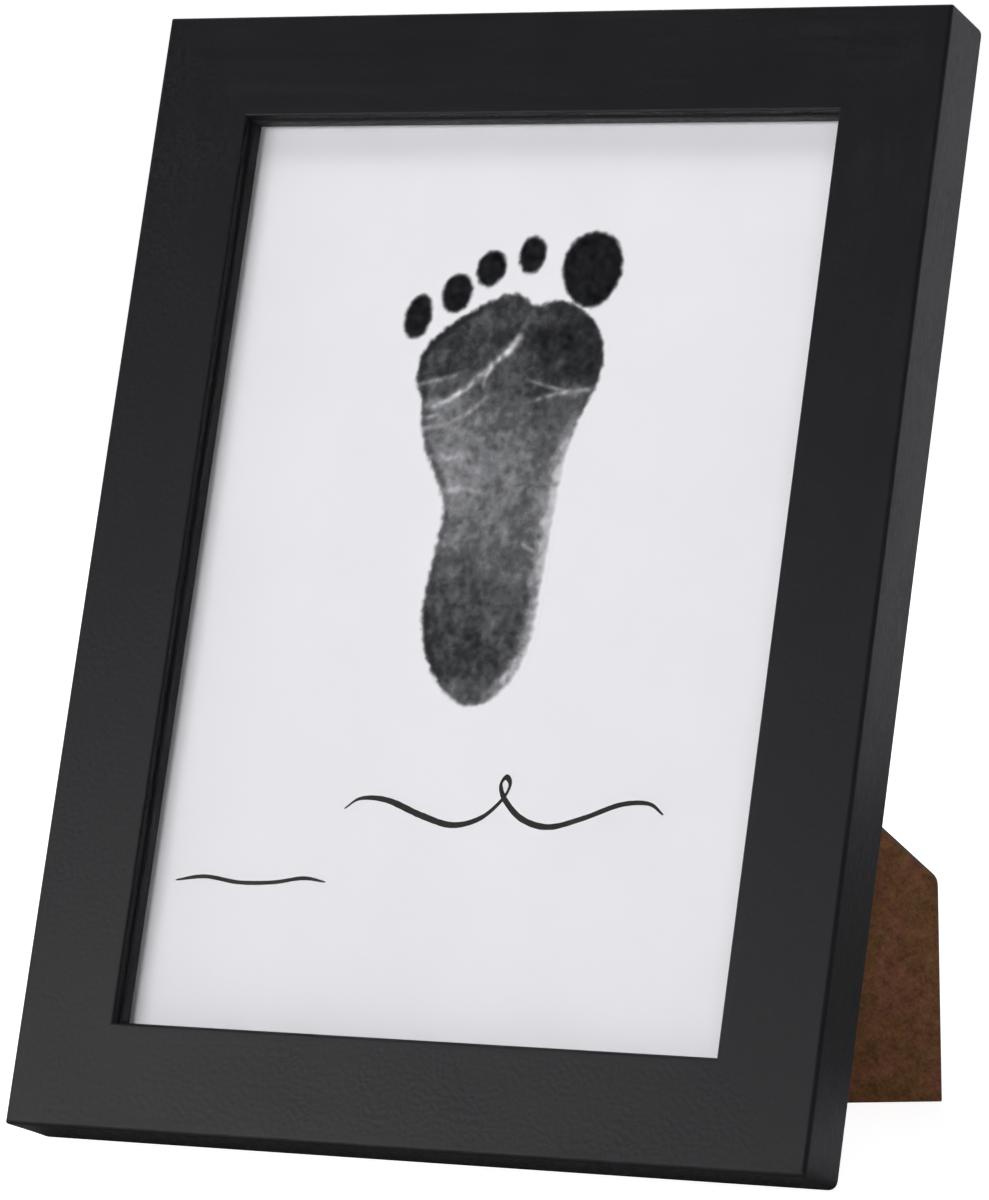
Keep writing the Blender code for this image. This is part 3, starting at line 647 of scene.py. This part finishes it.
def sole_shade(points, depth):
    x, z = points[:, 0], points[:, 1]
    tone = 0.52 + 0.24 * bell(z, 148.0, 12.0) + 0.22 * bell(z, 93.0, 14.0)
    tone += 0.16 * bell(x, 11.0, 6.5) * bell(z, 146.5, 9.0)
    tone += 0.10 * bell(x, 5.0, 4.0) * bell(z, 130.0, 8.0)
    tone -= 0.10 * bell(x, -7.0, 8.0) * bell(z, 124.0, 9.0)
    tone += 0.10 * cloudy(points, 0.13, 2.0) + 0.11 * cloudy(points, 0.32, 8.0) + 0.10 * cloudy(points, 0.8, 14.0)
    rag = 0.4 * cloudy(points, 0.7, 20.0) + 0.16 * cloudy(points, 1.7, 26.0)
    right = step(x, 1.0, 6.5) * step(z, 137.0, 126.0)
    tone *= 1.0 - 0.62 * right * (1.0 - step(depth + 2.2 * rag, 0.2, 3.4))
    left = step(x, -4.0, -9.0)
    tone += 0.10 * left * bell(depth, 0.9, 0.7)
    for k, (line, width, lost) in enumerate(FOLDS):
        tone *= crease(points, line, width, lost, 31.0 + 4 * k)
    return np.clip(tone * step(depth + rag, -0.42, 0.62), 0, 1)


def toe_shade(points, depth):
    rag = 0.28 * cloudy(points, 0.8, 60.0) + 0.1 * cloudy(points, 2.0, 66.0)
    middle = step(depth, 0.8, 2.6)
    tone = 0.955 - 0.01 * middle + 0.07 * cloudy(points, 0.7, 72.0)
    return np.clip(tone * step(depth + rag, -0.5, 0.6), 0, 1)


def toe(x, z, across, up, turn, egg):
    """Egg-shaped outline, broad end up for a positive egg."""
    line = []
    a = math.radians(turn)
    for k in range(20):
        t = 2 * math.pi * k / 20
        px = across / 2 * math.cos(t) * (1 + egg * math.sin(t))
        pz = up / 2 * math.sin(t)
        line.append((x + px * math.cos(a) + pz * math.sin(a), z - px * math.sin(a) + pz * math.cos(a)))
    return line


TOES = [
    (12.1, 161.4, 11.8, 14.1, -4, 0.08),
    (-0.3, 164.1, 5.2, 7.0, 3, 0.02),
    (-8.3, 161.5, 5.7, 6.8, 12, 0.06),
    (-14.5, 156.9, 6.0, 7.3, 8, 0.02),
    (-21.8, 152.5, 5.3, 8.3, 9, -0.06),
]
sole_line = curve_through(SOLE, True, 0.4)
sole_line.reverse()
shapes = [(sole_line, sole_shade)] + [(curve_through(toe(*shape), True, 0.3), toe_shade) for shape in TOES]
stamp("print_foot", shapes, 0.34)


def pen_stroke(name, points, broad, fine, lean_to):
    """Tapered pen line: broad where it runs along lean_to, fine across it and at its ends."""
    line = curve_through(points, False, 0.3)
    nib = Vector(lean_to).normalized()
    left, right = [], []
    for i, p in enumerate(line):
        along = (line[min(i + 1, len(line) - 1)] - line[max(i - 1, 0)]).normalized()
        across = Vector((-along.y, along.x))
        share = i / (len(line) - 1)
        taper = min(1.0, 7 * share, 7 * (1 - share)) ** 0.6
        half = (fine + (broad - fine) * abs(along.dot(nib)) ** 1.5) / 2
        half *= 0.25 + 0.75 * taper
        half *= 1 + 0.1 * noise.noise(Vector((p.x * 1.3, p.y * 1.3, 4.0)))
        left.append(p + across * half)
        right.append(p - across * half)
    return line, left, right


def ribbon(name, points, broad, fine, lean_to):
    _, left, right = pen_stroke(name, points, broad, fine, lean_to)
    count = len(left)
    flat = [tuple(p) for p in left + right]
    faces = [(k, k + 1, count + k + 1, count + k) for k in range(count - 1)]
    return film(name, flat, faces, PEN, None, 0.05, 0.012)


SWASH = [
    (-31.5, 0.4), (-28.4, 2.5), (-23.0, 2.2), (-16.0, -0.6), (-9.6, -2.4), (-4.2, -1.0),
    (-0.4, 2.6), (0.9, 5.6), (0.0, 7.2), (-0.9, 5.6), (0.4, 2.6),
    (4.2, -1.0), (9.6, -2.4), (16.0, -0.6), (23.0, 2.2), (28.4, 2.5), (31.5, 0.4),
]
ribbon("pen_flourish", [(8.8 + x, 61.6 + 0.92 * z + 0.02 * x) for x, z in SWASH], 1.15, 0.5, (1.0, -0.35))
ribbon("pen_rule", [(-55.0, 47.0), (-49.0, 47.9), (-42.0, 47.1), (-35.0, 47.4), (-29.0, 48.4), (-24.4, 47.9)], 0.75, 0.4, (1.0, -0.2))

# ---------------------------------------------------------------- stage
floor_mesh = bpy.data.meshes.new("floor")
bm = bmesh.new()
bmesh.ops.create_circle(bm, cap_ends=True, segments=96, radius=45.0)
bm.to_mesh(floor_mesh)
bm.free()
floor = bpy.data.objects.new("floor", floor_mesh)
bpy.context.scene.collection.objects.link(floor)
floor.location.z = -0.0002
floor_mat = bpy.data.materials.new("white_floor")
floor_mat.use_nodes = True
tree = floor_mat.node_tree
paint = tree.nodes["Principled BSDF"]
paint.inputs["Base Color"].default_value = (0.6, 0.6, 0.6, 1.0)
paint.inputs["Roughness"].default_value = 0.9
paint.inputs["Specular IOR Level"].default_value = 0.1
paint.inputs["Emission Color"].default_value = (1.0, 1.0, 1.0, 1.0)
seen = tree.nodes.new("ShaderNodeLightPath")
lift = tree.nodes.new("ShaderNodeMath")
lift.operation = "MULTIPLY"
lift.inputs[1].default_value = 0.9
tree.links.new(seen.outputs["Is Camera Ray"], lift.inputs[0])
tree.links.new(lift.outputs[0], paint.inputs["Emission Strength"])
dim = tree.nodes.new("ShaderNodeMix")
dim.data_type = "RGBA"
dim.inputs[6].default_value = (0.6, 0.6, 0.6, 1.0)
dim.inputs[7].default_value = (0.36, 0.36, 0.36, 1.0)
tree.links.new(seen.outputs["Is Glossy Ray"], dim.inputs[0])
tree.links.new(dim.outputs[2], paint.inputs["Base Color"])
floor_mesh.materials.append(floor_mat)

world = bpy.data.worlds.new("studio")
bpy.context.scene.world = world
world.use_nodes = True
tree = world.node_tree
back = tree.nodes["Background"]
where = tree.nodes.new("ShaderNodeTexCoord").outputs["Generated"]


def world_range(socket, low, high, to_low, to_high):
    made = tree.nodes.new("ShaderNodeMapRange")
    made.clamp = True
    made.interpolation_type = "SMOOTHSTEP"
    tree.links.new(socket, made.inputs["Value"])
    for key, number in (("From Min", low), ("From Max", high), ("To Min", to_low), ("To Max", to_high)):
        made.inputs[key].default_value = number
    return made.outputs[0]


def dim_towards(way, low, high, deep):
    """1 away from a direction, falling to deep close to it."""
    toward = tree.nodes.new("ShaderNodeVectorMath")
    toward.operation = "DOT_PRODUCT"
    toward.inputs[1].default_value = Vector(way).normalized()
    tree.links.new(where, toward.inputs[0])
    return world_range(toward.outputs["Value"], low, high, 1.0, deep)


# darker in front, where the sheet and the arrises would mirror the room to the viewer,
# and low on the right behind the frame, where its side would
front_dim = dim_towards((0.25, -0.87, 0.42), 0.05, 0.55, 0.06)
side_dim = dim_towards((0.5, 0.86, 0.1), 0.45, 0.85, 0.05)
level = tree.nodes.new("ShaderNodeMath")
level.operation = "MULTIPLY"
tree.links.new(front_dim, level.inputs[0])
tree.links.new(side_dim, level.inputs[1])
scaled = tree.nodes.new("ShaderNodeMath")
scaled.operation = "MULTIPLY"
scaled.inputs[1].default_value = 0.5
tree.links.new(level.outputs[0], scaled.inputs[0])
tree.links.new(scaled.outputs[0], back.inputs["Strength"])
back.inputs["Color"].default_value = (0.965, 0.97, 1.02, 1.0)


def softbox(name, place, aim, size, power, gloss=True, size_y=None, diffuse=True, tint=(1.0, 1.0, 1.0)):
    lamp = bpy.data.lights.new(name, "AREA")
    lamp.shape = "RECTANGLE"
    lamp.size = size
    lamp.size_y = size_y or size
    lamp.energy = power
    lamp.color = tint
    lamp.cycles.use_multiple_importance_sampling = False
    obj = bpy.data.objects.new(name, lamp)
    bpy.context.scene.collection.objects.link(obj)
    obj.location = place
    obj.rotation_euler = (Vector(aim) - Vector(place)).to_track_quat("-Z", "Y").to_euler()
    obj.visible_glossy = gloss
    obj.visible_transmission = False
    obj.visible_diffuse = diffuse
    obj.visible_camera = False
    return obj


MIDDLE = at(0, -7, 104)
def before(x, u, reach):
    """Point in front of the face, by slopes to the right and up it."""
    return MIDDLE + (-N + Vector((x, 0, 0)) + U * u).normalized() * reach


SIDE = Vector((0.408, 0.912, 0.0))
softbox("key", before(-0.42, -0.15, 1.5), MIDDLE, 0.45, 5.15, gloss=False)
softbox("top", before(-0.2, 1.06, 1.6), MIDDLE, 0.6, 6.5, gloss=False)
softbox("front", before(-0.04, -0.06, 1.45), MIDDLE, 0.4, 6.9, gloss=False)
softbox("fill", (0.62, -0.97, 0.40), at(60, 20, 60), 0.4, 1.85, gloss=False)
softbox("leg", (0.50, -0.03, 0.04), at(55, 55, 30), 0.2, 0.36, gloss=False)
softbox("back", (-0.8, 1.1, 0.75), at(0, 0, 100), 0.8, 4.5)
softbox("right", at(79, -7, 151) + SIDE * 0.075, at(79, -7, 151), 0.10, 0.044, size_y=0.178, diffuse=False, tint=(1.0, 0.99, 1.06))
softbox("low_right", at(79, -7, -3) + SIDE * 0.04, at(79, -7, -3), 0.05, 0.0024, size_y=0.015, diffuse=False, tint=(1.0, 0.98, 1.08))
softbox("low_left", (-0.21, -0.40, 0.11), at(-20, -14, 0), 0.30, 0.70, size_y=0.15, diffuse=False)

# ---------------------------------------------------------------- camera
lens = bpy.data.cameras.new("camera")
lens.sensor_width = 36.0
lens.sensor_fit = "AUTO"
lens.lens = 207.54
lens.clip_start = 0.01
lens.clip_end = 200.0
camera = bpy.data.objects.new("camera", lens)
bpy.context.scene.collection.objects.link(camera)
camera.matrix_world = Matrix(
    (
        (0.8864252, -0.0229652, 0.4623018, 0.569089),
        (0.4623216, 0.0926167, -0.8818622, -1.095247),
        (-0.0225647, 0.995437, 0.0927151, 0.210472),
        (0.0, 0.0, 0.0, 1.0),
    )
)
bpy.context.scene.camera = camera
bpy.context.scene.view_settings.view_transform = "Standard"
bpy.context.scene.view_settings.look = "None"
